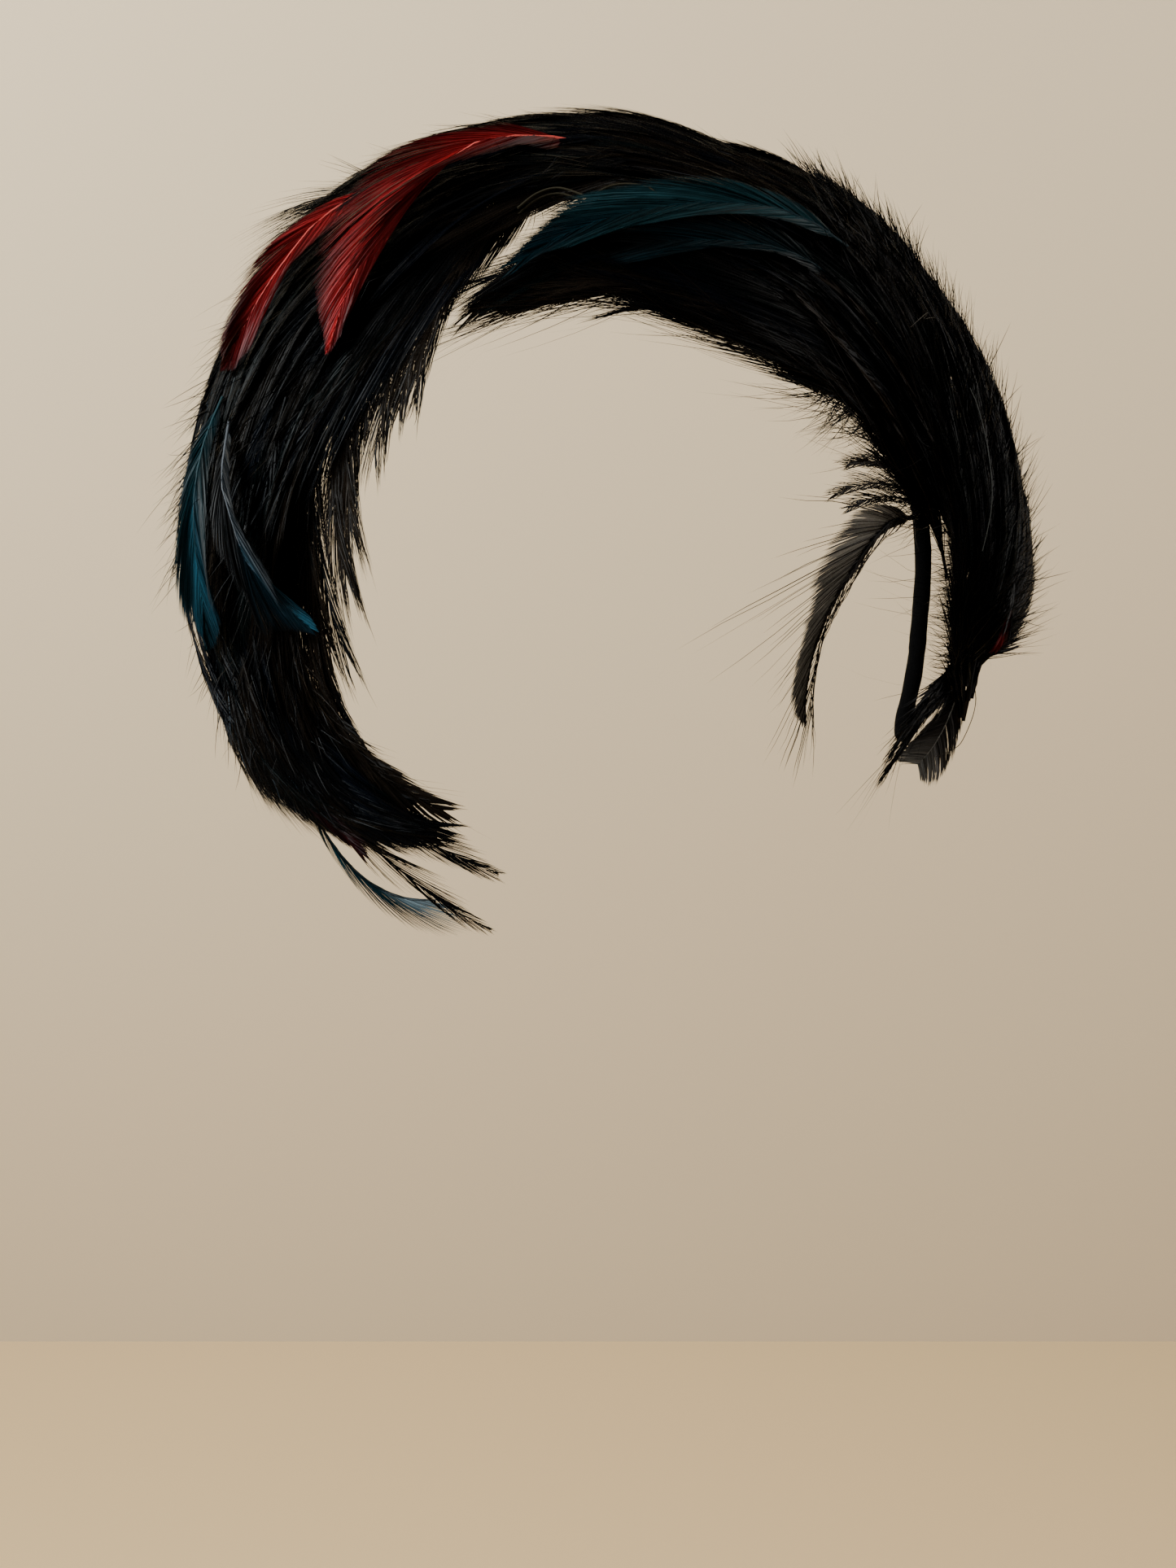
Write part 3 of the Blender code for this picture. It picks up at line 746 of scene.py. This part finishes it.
lay(cheek, CHEEK_LAP, CHEEK_LAP_ROWS, FINE, rng, reach=0.9)
hang_wisps(cheek, CHEEK_WISPS, 7.5, rng)
TIP = FINE._replace(spacing=0.7, width=0.19, slants=(13, 11, 9), loose=0.3, lift=0.3, stations=6)
for points in CHEEK_POINTS:
    place_feather(cheek, points, TIP, INK, rng, past=2.5)
bristle(cheek, CHEEK, 700, 8, 24, 14, rng, shares=(0, 0.75), width=0.22)
bristle(cheek, CHEEK, 260, 12, 6, 20, rng, sides=(-1.05, -0.8), dye=UMBER, width=0.1)
# A few pale barbs paint the window's glints on the cheek tier.
bristle(cheek, CHEEK, 160, 12, 3, 3, rng, dye=PAINTED_GLINT, sides=(0.1, 0.9), shares=(0, 0.6), width=0.07)
press(cheek, rests)
cheek.piece("right_cheek_plumage", black_feather, "black_feather", "right_cheek_tier")


# The side tier covers the head above the right temple. Its tips lie over the quills of the cheek tier,
# and its front edge breaks up into thin brownish wisps.
SIDE = (
    Section(102, -7, 29, 4.6, 5, 1),
    Section(108, -9, 31, 5, 5.8, 1.6),
    Section(116, -15, 34, 6.4, 9, 2.8),
    Section(128, -20, 36, 7.2, 14, 5.2),
    Section(141, -26, 35, 8.8, 16.4, 5.8),
    Section(150, -32, 33, 11.4, 17.4, 4.4),
    Section(158, -37, 32, 13.2, 18.2, 3.2),
    Section(166, -41, 29, 13.8, 17.6, 2.4),
)
SIDE_ROWS = (
    Laying(0.54, 10, 0.46, 6.4, 0.75, 1),
    Laying(0.4, 10, 0.5, 6.8, 0.85, 1),
    Laying(0.26, 10, 0.5, 7, 0.9, 1),
    Laying(0.12, 10, 0.5, 7, 0.95, 1),
    Laying(0, 10, 0.46, 6.8, 0.95, 1),
)
SIDE_WISPS = (
    Wisp(100, -38, 122, -64, 3.4),
    Wisp(104, -41, 128, -66, 4),
    Wisp(110, -45, 134, -66, 4.4),
    Wisp(117, -46, 131, -64, 4.4),
    Wisp(122, -48, 143, -67, 5),
    Wisp(128, -49, 144, -71, 5),
    Wisp(132, -50, 152, -74, 5),
    Wisp(138, -52, 162, -77, 5),
)
side = Bunch()
rng = np.random.default_rng(34)
under_layers(side, SIDE, (9, 9, 9), 7, rng, reach=0.94)
lay(side, SIDE, SIDE_ROWS, FINE, rng, reach=1.08)
hang_wisps(side, SIDE_WISPS, 8, rng)
bristle(side, SIDE, 1200, 9, 26, 16, rng, width=0.23)
bristle(side, SIDE, 200, 14, 6, 24, rng, sides=(-1.08, -0.9), dye=UMBER, width=0.1)
# A few pale barbs paint the window's glints on the side tier.
bristle(side, SIDE, 120, 12, 3, 3, rng, dye=PAINTED_GLINT, sides=(0.1, 0.9), shares=(0.6, 1), width=0.07)
press(side, rests)
side.piece("right_side_plumage", black_feather, "black_feather", "right_side_tier")


# The crown tier runs flat over the top of the head, with its tips over the quills of the side tier.
# A last layer of long feathers bridges the step down to that tier.
CROWN = (
    Section(46, -1, 26, 6, 8.6, 1.3),
    Section(54, -1, 27, 5.4, 6.8, 1.5),
    Section(63, -1, 29, 5, 5.8, 1.8),
    Section(74, -1, 30, 4.6, 4.9, 2.2),
    Section(88, -2, 31, 4.4, 4.6, 2.2),
    Section(97, -6, 33, 5.8, 6.2, 2.4),
    Section(105, -9, 35, 7.8, 8.8, 2.4),
    Section(114, -13, 35, 10.3, 12.8, 2),
)
CROWN_ROWS = (
    Laying(0.54, 9, 0.48, 6.8, 0.75, 1.02),
    Laying(0.4, 9, 0.5, 7, 0.85, 1),
    Laying(0.26, 9, 0.5, 7, 0.9, 1),
    Laying(0.12, 8, 0.5, 7, 0.95, 1),
    Laying(0, 8, 0.46, 6.8, 0.95, 1),
)
CROWN_LAP = (
    Section(86, -2, 28, 6, 6.4, 0.8),
    Section(98, -6, 31, 8, 8.6, 0.8),
    Section(108, -11, 32, 10.4, 12, 0.8),
    Section(118, -16, 32, 11, 15, 0.8),
    Section(130, -21, 32, 12, 18.6, 0.8),
    Section(142, -27, 30, 14, 20.6, 0.8),
)
crown = Bunch()
rng = np.random.default_rng(55)
under_layers(crown, CROWN, (8, 8, 9), 7.5, rng)
lay(crown, CROWN, CROWN_ROWS, FINE, rng)
CROWN_LAP_ROWS = [Laying(0, 9, 0.6, 5.4, 0.5, 1), Laying(0.32, 9, 0.6, 5.4, 0.5, 1)]
lay(crown, CROWN_LAP, CROWN_LAP_ROWS, FINE, rng)
bristle(crown, CROWN, 250, 9, 6, 12, rng, width=0.2)
press(crown, rests)
crown.piece("crown_plumage", black_feather, "black_feather", "crown_tier")


# The top tier starts in one tight bunch at the left temple and fans out up the side of the head. At the
# tied end its last barbs hang loose over the bare wire.
TEMPLE = (
    Section(0, -51, 3, 11.2, 12, 1.5),
    Section(7, -51, 6.5, 11, 14, 2.5),
    Section(12, -42, 14, 11, 17.6, 3.8),
    Section(19, -27, 26, 10, 20.3, 5),
    Section(28, -13, 33, 11.3, 19.3, 5.5),
    Section(38, -6, 32, 10.4, 16.6, 4.8),
    Section(45, -5, 32, 10.4, 15, 3.8),
    Section(53, -4, 32, 10, 12.4, 2.8),
    Section(61, -4, 31, 9, 9.8, 1.8),
)
TEMPLE_ROWS = (
    Laying(0.5, 10, 0.5, 7, 0.75, 1.03),
    Laying(0.36, 10, 0.5, 7, 0.85, 1.03),
    Laying(0.24, 10, 0.5, 6.8, 0.9, 1.02),
    Laying(0.12, 9, 0.46, 5.6, 0.95, 1),
    Laying(0.03, 9, 0.4, 3.6, 0.95, 1),
)
TEMPLE_LAP = (
    Section(34, -8, 30, 12, 20.5, 0.8),
    Section(45, -5, 30, 12.6, 17.6, 0.8),
    Section(56, -3, 29, 10.8, 12.8, 0.8),
    Section(67, -2, 28, 7.8, 8.2, 0.8),
    Section(80, -2, 28, 6.2, 6.4, 0.8),
    Section(94, -4, 28, 6.2, 6.6, 0.8),
)
TIED_END = (
    Section(11, -33, 4, 12, 14, 2),
    Section(8, -43, 4, 10.5, 12, 2),
    Section(5, -54, 3.6, 9.5, 10, 2),
    Section(4, -63, 3, 9, 9, 1.6),
    Section(1, -71, 2.4, 8.5, 8.5, 1.4),
    Section(-4, -77, 2, 8, 8, 1),
)
temple = Bunch()
rng = np.random.default_rng(89)
under_layers(temple, TEMPLE, (9, 9, 9), 6, rng, reach=0.92)
lay(temple, TEMPLE, TEMPLE_ROWS, FINE._replace(spacing=0.35, width=0.23), rng)
TEMPLE_LAP_ROWS = [Laying(0, 9, 0.6, 5.4, 0.5, 1), Laying(0.3, 9, 0.6, 5.4, 0.5, 1)]
lay(temple, TEMPLE_LAP, TEMPLE_LAP_ROWS, FINE, rng)
TIED_ROWS = [Laying(0, 4, 0.6, 1.3, 0.5, 1), Laying(0.15, 3, 0.6, 1.1, 0.5, 1)]
lay(temple, TIED_END, TIED_ROWS, FINE, rng, dyes=(INK,))
lay(temple, TIED_END, [Laying(0.3, 4, 0.6, 2.6, 0.5, 1)], WISPY, rng, dyes=(INK,))
bristle(temple, TEMPLE, 2400, 8.5, 26, 20, rng, shares=(0.1, 0.95), width=0.25)
bristle(temple, TEMPLE, 500, 16, 10, 45, rng, sides=(-1.05, -0.75), shares=(0.1, 0.6), width=0.12)
bristle(temple, TEMPLE, 900, 6, -40, 95, rng, sides=(-1.1, -0.9), shares=(0.05, 0.45), width=0.2)
bristle(temple, TEMPLE, 40, 19, -45, 115, rng, sides=(-1.1, -0.9), shares=(0.08, 0.4), width=0.17)
bristle(temple, TIED_END, 60, 12, 8, 10, rng, width=0.1)
PALE_QUILL = (0.05, 0.054, 0.052)
GREY = (0.1, 0.092, 0.078)
STALK_STATIONS = 24
LIMB_STALK = (
    Point(33, -36, 20),
    Point(31, -38, 20.5),
    Point(27, -44, 21),
    Point(23, -49, 20.5),
    Point(19, -53, 18),
)
LOOP_BARB = (
    Point(5, -50, 12),
    Point(2, -48, 13),
    Point(-1, -47, 13),
    Point(-4, -50, 12),
    Point(-4, -56, 12),
    Point(-3, -65, 12),
)
THREAD_TANGLE = (
    Point(43, -38, 16),
    Point(42.5, -35, 17),
    Point(41.5, -29, 17.6),
    Point(41, -27, 16.6),
    Point(41.5, -31, 17),
    Point(40, -26, 17.8),
    Point(38.5, -22, 17),
)


def stalk(bunch, points, radius, dye):
    """A bare quill or curled barb on its own, along a table's points."""
    row = along(points, np.linspace(0, 1, STALK_STATIONS))
    spine = on_head(row.arch, row.fore, row.off)
    ways = unit(np.gradient(spine, axis=0))
    acrosses = unit(np.cross(ways, stand_off(spine, row.off)[1]))
    bunch.tube(spine, np.cross(acrosses, ways), acrosses, np.full(STALK_STATIONS, radius), dye)


press(temple, rests)
stalk(temple, LIMB_STALK, 0.1, PALE_QUILL)
stalk(temple, LOOP_BARB, 0.1, UMBER)
stalk(temple, THREAD_TANGLE, 0.08, 0.6 * np.array(GREY))
temple.piece("left_temple_plumage", black_feather, "black_feather", "left_temple_tier")


# The spray is a slimmer bunch that leaves the left temple under the tiers and sweeps over the forehead.
# Its upper feathers lie up against the tiers' front edges.
SPRAY = (
    Section(22, -41, 5, 6.6, 8, 1.4),
    Section(30, -40, 9.5, 5.2, 7.2, 1.8),
    Section(42, -40.5, 11.5, 3.8, 6.6, 2.6),
    Section(55, -46, 13, 3, 5.8, 3),
    Section(69, -48, 14, 2.6, 5.6, 3.4),
    Section(82, -48.5, 12, 2.4, 5.2, 3.4),
    Section(95, -52, 7.5, 2.4, 4.2, 2.6),
    Section(106, -54, 4, 2.8, 3.4, 1.6),
)
SPRAY_ROWS = (
    Laying(0.52, 5, 0.5, 4.6, 0.6, 0.9),
    Laying(0.4, 6, 0.5, 5.4, 0.7, 0.95),
    Laying(0.28, 6, 0.5, 5.8, 0.8, 1),
    Laying(0.14, 6, 0.5, 5.8, 0.9, 1),
    Laying(0, 5, 0.46, 5, 0.95, 1),
)
SPRAY_TOP = (
    Section(16, -47, 4, 9, 16, 1),
    Section(26, -43, 6, 8.5, 15, 1),
    Section(37, -40, 8, 8, 13.5, 1),
    Section(48, -38, 9.5, 7.4, 12, 1),
    Section(58, -37, 10, 7.4, 9, 1),
    Section(68, -39, 9, 7.2, 7.6, 1),
    Section(78, -44, 7, 6.8, 6.8, 1),
    Section(88, -49, 5, 6.4, 6.4, 1),
)
SPRAY_WISPS = (
    Wisp(24, -42, 38, -66, 2.2),
    Wisp(28, -43, 40, -61, 2),
    Wisp(31, -44, 50, -52, 3.4),
    Wisp(40, -47, 62, -56, 3.6),
    Wisp(50, -51, 72, -58, 3.6),
    Wisp(60, -54, 84, -58, 3.6),
    Wisp(70, -55, 96, -56, 3.4),
    Wisp(80, -54, 104, -53, 3.2),
)
SPRAY_POINT = (
    Point(86, -51, 5, 4.4),
    Point(98, -53, 4.6, 4.2),
    Point(107, -54, 4.8, 3.2),
    Point(115, -51, 5, 1),
)
spray = Bunch()
rng = np.random.default_rng(144)
under_layers(spray, SPRAY, (5, 6, 5), 4.6, rng, reach=0.7)
under_layers(spray, SPRAY_TOP, (4, 4, 4), 5.5, rng)
lay(spray, SPRAY, SPRAY_ROWS, FINE, rng)
TOP_ROWS = (
    Laying(0, 5, 0.5, 5.4, 0.5, 1),
    Laying(0.25, 5, 0.5, 5.4, 0.6, 1),
    Laying(0.5, 5, 0.48, 5, 0.6, 1),
)
lay(spray, SPRAY_TOP, TOP_ROWS, FINE, rng)
place_feather(spray, SPRAY_POINT, TIP, INK, rng, lift=2)
hang_wisps(spray, SPRAY_WISPS, 5.5, rng)
bristle(spray, SPRAY, 300, 8, 10, 16, rng)
bristle(spray, SPRAY, 460, 20, 4, 14, rng, sides=(-1.12, -0.7), dye=UMBER, width=0.17)
bristle(spray, SPRAY, 240, 17, 4, 55, rng, sides=(-1.05, -0.8), shares=(0, 0.4), width=0.24)
bristle(spray, SPRAY, 120, 12, -25, 80, rng, sides=(-1.05, -0.8), shares=(0, 0.35), width=0.22)
KHAKI = (0.022, 0.019, 0.012)
CURLED_BARBS = (
    (Point(102, -44, 9), Point(99, -42, 9.5), Point(96, -41.5, 9.5), Point(93, -43, 9), Point(91, -45, 9)),
    (
        Point(92, -46, 9.5),
        Point(89, -43, 10),
        Point(86, -42.5, 10.5),
        Point(83, -43, 10.5),
        Point(81, -45, 10),
    ),
)
press(spray, rests)
for points in CURLED_BARBS:
    for lift in (0, 1):
        stalk(spray, [point._replace(off=point.off + lift) for point in points], 0.28, KHAKI)
spray.piece("forehead_spray_plumage", black_feather, "black_feather", "forehead_spray")


# The single feathers lie on the tiers, held at their quills: dyed scarlet and petrol blue among the black.
# Their vanes are closed, with a few dark barbs, and the black ones cross them near the quills.
SCARLET = (0.42, 0.018, 0.022)
CRIMSON = (0.07, 0.003, 0.005)
OXBLOOD = (0.011, 0.001, 0.0014)
PETROL = (0.009, 0.04, 0.05)
BRIGHT_PETROL = (0.02, 0.085, 0.13)
SLATE_QUILL = (0.03, 0.034, 0.04)
DIM_PETROL = (0.004, 0.02, 0.025)
DEEP_PETROL = (0.001, 0.011, 0.016)
SLATE = (0.005, 0.007, 0.009)
# Pink quill: partly the quill's own colour, partly a painted gloss highlight along it.
PINK_QUILL_AND_GLOSS = (0.42, 0.06, 0.05)
SLEEK = Barbing(
    spacing=0.13, width=0.3, slants=(30, 10, 12), loose=0.12, lift=0.1, stations=5, streaks=0.07
)
Coat = namedtuple("Coat", "dyes quill_dye vanes edge rows past slot")
# On the red feathers the pink quill and an edge tone of 0.15 paint a gloss band along the quill.
COATS = {
    "red_feather_long": Coat(
        (CRIMSON, SCARLET, SCARLET), PINK_QUILL_AND_GLOSS, ((0.4, 1.1), (0.8, 0.95)), 0.15, 22, 0.8, "red_feather"
    ),
    "red_feather_short": Coat(
        (SCARLET, SCARLET, CRIMSON), PINK_QUILL_AND_GLOSS, ((0.45, 1), (0.5, 1)), 0.15, 20, 0.8, "red_feather"
    ),
    "red_feather_temple": Coat(
        (INK, INK, SCARLET, CRIMSON), INK, ((1, 1), (0.6, 1)), 0.4, 17, 1.5, "red_feather"
    ),
    "red_feather_cheek": Coat((OXBLOOD,), OXBLOOD, ((1, 1), (1, 1)), 0.3, 19, 3, "red_feather"),
    "teal_feather_upper": Coat(
        (DEEP_PETROL, DIM_PETROL, BRIGHT_PETROL, DIM_PETROL),
        DIM_PETROL,
        ((0.5, 1), (1, 0.9)),
        0.4,
        21,
        1.5,
        "teal_feather",
    ),
    "teal_feather_lower": Coat(
        (SLATE, SLATE, BRIGHT_PETROL), SLATE_QUILL, ((1, 0.8), (0.2, 0.9)), 0.5, 22, 2, "teal_feather"
    ),
    "teal_feather_forehead": Coat(
        (DEEP_PETROL, PETROL, PETROL, DIM_PETROL, DEEP_PETROL, DEEP_PETROL),
        DEEP_PETROL,
        ((0.8, 1), (0.7, 1)),
        0.6,
        20,
        9,
        "teal_feather",
    ),
}
PLAIN_SINKS = (-2.5, 0.4, 0.4)
SINKS = {
    "red_feather_cheek": (-6.5, -5, -2.2),
    "red_feather_long": (-5, 0.4, 0.4),
    "red_feather_temple": (-3.5, -2.2, -1.4),
}
UNDER_DYES = (INK, DEEP_PETROL, DEEP_PETROL, INK)
UNDER_SINKS = (-2.5, 0.2, 0.2)
SHADES = (0.35, 0.8, 0.5)
dyed_feather = feather_finish("dyed_feather", {"Specular IOR Level": 0.045}, SHADES, 0.22)


def dyed_plume(bunch, line, coat, dyes, sinks, rng):
    """One closed-vaned feather over the line that the black barbs were pressed under, sunk by the sinks."""
    shares = np.linspace(0, 1, len(line.spine))
    spine = line.spine + line.outs * np.interp(shares, (0, 0.3, 1), sinks)[:, None]
    widest = line.halves.max()
    plume(
        bunch,
        spine[: coat.rows],
        line.outs[: coat.rows],
        widest,
        SLEEK,
        dyes,
        rng,
        vanes=coat.vanes,
        edge=coat.edge,
        quill_dye=coat.quill_dye,
        quill_radius=0.42,
        past=coat.past,
        shape=lambda s: np.interp(s, shares, line.halves) / widest,
    )


rng = np.random.default_rng(233)
for node, coat in COATS.items():
    single = Bunch()
    dyed_plume(single, rests[node], coat, coat.dyes, SINKS.get(node, PLAIN_SINKS), rng)
    if node == "teal_feather_forehead":
        dyed_plume(single, rests["under"], coat, UNDER_DYES, UNDER_SINKS, rng)
    single.piece(node.replace("feather", "plume"), dyed_feather, coat.slot, node)


# Three feathers are tied in under the tiers and hang free: a pale teal one at the cheek, a thin black
# hackle at the left temple, and a leaf-shaped brown one at the tied end.
TEAL_CHEEK = (
    Point(186, -67, 6.4, 1.5),
    Point(193, -70, 6.2, 2.2),
    Point(200, -75, 5.8, 3),
    Point(206, -81, 5.2, 2.8),
    Point(210, -87, 5, 1),
)
STRAY_HACKLE = (
    Point(24, -45, 4.2, 1.2),
    Point(28, -56, 4, 4.4),
    Point(29, -66, 4, 4.4),
    Point(28, -75, 4, 2.6),
    Point(24, -81, 4, 2),
    Point(18, -84, 4, 1.6),
    Point(12, -85, 4, 1),
)
END_LEAF = (
    Point(4, -49, 10.3, 2.8),
    Point(1, -49, 9.6, 4.4),
    Point(-2, -53, 8.8, 5.2),
    Point(-4, -58, 8.2, 5),
    Point(-5, -62, 7.7, 4.4),
)
PALE_TEAL = (0.12, 0.16, 0.18)
BROWN = (0.006, 0.0045, 0.004)
hanging = Bunch()
CHEEK_VANES = ((0.6, 0.5), (1, 1.2))
OPEN_VANE = SLEEK._replace(spacing=0.26, width=0.17, slants=(22, 13, 8.5))
CHEEK_DYES = (INK, DEEP_PETROL, DEEP_PETROL, PALE_TEAL)
place_feather(hanging, TEAL_CHEEK, OPEN_VANE, CHEEK_DYES, rng, vanes=CHEEK_VANES, quill_dye=INK)
hanging.piece("teal_cheek_plume", dyed_feather, "teal_feather", "teal_feather_cheek")
hanging = Bunch()
HACKLE_VANE = SLEEK._replace(slants=(24, 13, 8))
place_feather(hanging, STRAY_HACKLE, HACKLE_VANE, GREY, rng, vanes=((0.06, 0.5), (1, 1)), past=2)
LOOSE = WISPY._replace(spacing=1.3, width=0.17, slants=(24, 14, 9), loose=0.6)
place_feather(hanging, STRAY_HACKLE, LOOSE, UMBER, rng, lift=0.8, vanes=((1, 1.5), (1, 2.1)))
hanging.piece("stray_hackle_plume", black_feather, "black_feather", "stray_hackle")
hanging = Bunch()
LEAF_VANE = SLEEK._replace(slants=(36, 32, 40), loose=0.25)
LEAF_DYES = (BROWN, BROWN, 0.5 * np.array(GREY))
place_feather(hanging, END_LEAF, LEAF_VANE, LEAF_DYES, rng, quill_dye=GREY, roll=-0.8, past=3.5)
hanging.piece("end_leaf_plume", dyed_feather, "brown_feather", "end_leaf")


# The room is a matt floor with a matt wall behind it. A broad cool window stands at the left, weaker
# warm lamps at the right and above, and one more lamp washes the wall.
FLOOR_HEIGHT = -0.99
WALL_DISTANCE = 0.9
ROOM_HALF = 3
ROOM_COLOUR = (1, 0.9, 0.78, 1)
ROOM_GLOW = 0.24
WALL_PALE = (0.575, 0.47, 0.325, 1)
FLOOR_PALE = (0.49, 0.355, 0.195, 1)


def paper(name, colour):
    """Matt paint with a fine tooth."""
    constants = {"Roughness": 0.9, "Specular IOR Level": 0.1, "Base Color": colour}
    material, shader, start = finish_of(name, constants)
    where = start.node("ShaderNodeTexCoord", {}, {}, "Object")
    grain = start.node("ShaderNodeTexNoise", {}, {"Vector": where, "Scale": 600.0, "Detail": 2.0})
    roughen(grain, shader, 0.1, 0.0003)
    return material


for name, colour, (near, low), (far, high) in (
    ("floor", FLOOR_PALE, (-ROOM_HALF, 0), (WALL_DISTANCE, 0)),
    ("wall", WALL_PALE, (WALL_DISTANCE, 0), (WALL_DISTANCE, ROOM_HALF)),
):
    mesh = bpy.data.meshes.new(name)
    corners = [
        (-ROOM_HALF, near, low + FLOOR_HEIGHT),
        (ROOM_HALF, near, low + FLOOR_HEIGHT),
        (ROOM_HALF, far, high + FLOOR_HEIGHT),
        (-ROOM_HALF, far, high + FLOOR_HEIGHT),
    ]
    mesh.from_pydata(corners, [], [(0, 1, 2, 3)])
    mesh.materials.append(paper("pale_" + name, colour))
    sheet = bpy.data.objects.new(name, mesh)
    bpy.context.collection.objects.link(sheet)

Lamp = namedtuple("Lamp", "name place aim size power colour")
LAMPS = (
    Lamp("left_window", (-1.02, -0.1, 0.5), (0, 0, 0), 0.8, 46, (0.87, 0.96, 1)),
    Lamp("right_lamp", (1.4, -0.5, 0.4), (0, 0, -0.06), 0.9, 7, (1, 0.92, 0.8)),
    Lamp("side_fill", (1.1, 0.3, 0.35), (0.06, -0.02, -0.07), 0.9, 13, (1, 0.97, 0.93)),
    Lamp("ceiling", (0, -0.4, 1.6), (0, 0, 0), 1.6, 8, (1, 0.93, 0.82)),
    Lamp("wall_lamp", (-0.9, 0.3, 0.6), (0.2, 0.9, -0.3), 1.0, 21, (1, 0.94, 0.84)),
)
for lamp in LAMPS:
    glow = bpy.data.lights.new(lamp.name, "AREA")
    glow.size = lamp.size
    glow.energy = lamp.power
    glow.color = lamp.colour
    stand = bpy.data.objects.new(lamp.name, glow)
    stand.location = lamp.place
    stand.rotation_euler = (Vector(lamp.aim) - Vector(lamp.place)).to_track_quat("-Z", "Y").to_euler()
    bpy.context.collection.objects.link(stand)
room = bpy.data.worlds.new("room")
room.use_nodes = True
room.node_tree.nodes["Background"].inputs["Color"].default_value = ROOM_COLOUR
room.node_tree.nodes["Background"].inputs["Strength"].default_value = ROOM_GLOW
bpy.context.scene.world = room
